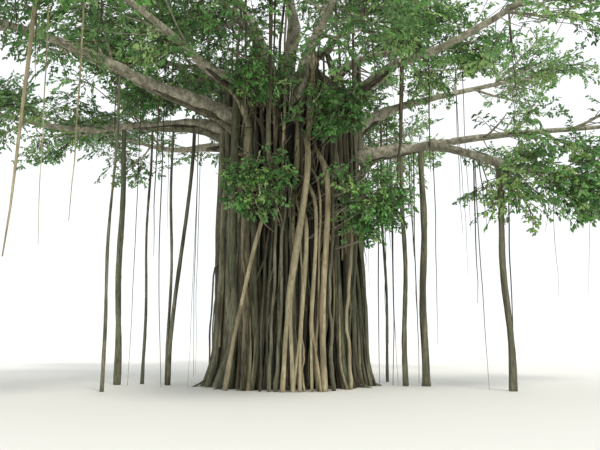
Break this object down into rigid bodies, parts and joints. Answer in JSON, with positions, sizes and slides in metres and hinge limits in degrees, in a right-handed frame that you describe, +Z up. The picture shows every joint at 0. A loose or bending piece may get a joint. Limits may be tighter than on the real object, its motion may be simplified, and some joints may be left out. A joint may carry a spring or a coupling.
{
  "type": "banyan tree",
  "caption": "Whole banyan tree: a broad trunk of roots grown together, spreading boughs, free roots down to the ground and masses of small leaves.",
  "frame": {"origin": "on the ground, in the flat cut under the trunk, on the trunk's axis", "axes": "+Z up the trunk, +X to the right and -Y to the viewer in the side that the picture shows"},
  "size_m": [28.0425, 25.9115, 17.9343],
  "materials": {
    "bark": "rough grey-brown bark, furrowed along the cords of the trunk",
    "free_root": "paler, smoother tan bark of free roots",
    "foliage": "small glossy leaves on thin twigs"
  },
  "bodies": {
    "root": {"trunk": "bark", "bough_right": "bark", "bough_right_back": "bark", "bough_back_right": "bark", "bough_back": "bark", "bough_left_back": "bark", "bough_left": "bark", "bough_left_front": "bark", "bough_front_left": "bark", "bough_front_right": "bark", "bough_right_front": "bark", "bough_climbing_1": "bark", "bough_climbing_2": "bark", "bough_climbing_3": "bark", "bough_climbing_4": "bark", "bough_climbing_5": "bark", "bough_climbing_6": "bark", "bough_top_1": "bark", "bough_top_2": "bark", "bough_top_3": "bark", "bough_drooping": "bark", "root_great": "free_root", "root_slanting": "free_root", "root_front_1": "free_root", "root_front_2": "free_root", "root_front_3": "free_root", "root_left_outer": "free_root", "root_left_mid": "free_root", "root_left_inner": "free_root", "root_left_near": "free_root", "root_left_front": "free_root", "root_right_inner": "free_root", "root_right_mid": "free_root", "root_right_stout": "free_root", "root_right_outer": "free_root", "root_back": "free_root", "foliage_right": "foliage", "foliage_right_back": "foliage", "foliage_back_right": "foliage", "foliage_back": "foliage", "foliage_left_back": "foliage", "foliage_left": "foliage", "foliage_left_front": "foliage", "foliage_front_left": "foliage", "foliage_front_right": "foliage", "foliage_right_front": "foliage", "foliage_climbing_1": "foliage", "foliage_climbing_2": "foliage", "foliage_climbing_3": "foliage", "foliage_climbing_4": "foliage", "foliage_climbing_5": "foliage", "foliage_climbing_6": "foliage", "foliage_top_1": "foliage", "foliage_top_2": "foliage", "foliage_top_3": "foliage", "foliage_drooping": "foliage", "shoot_top": "foliage", "shoot_centre": "foliage", "shoot_left": "foliage", "shoot_right": "foliage"}
  },
  "joints": []
}
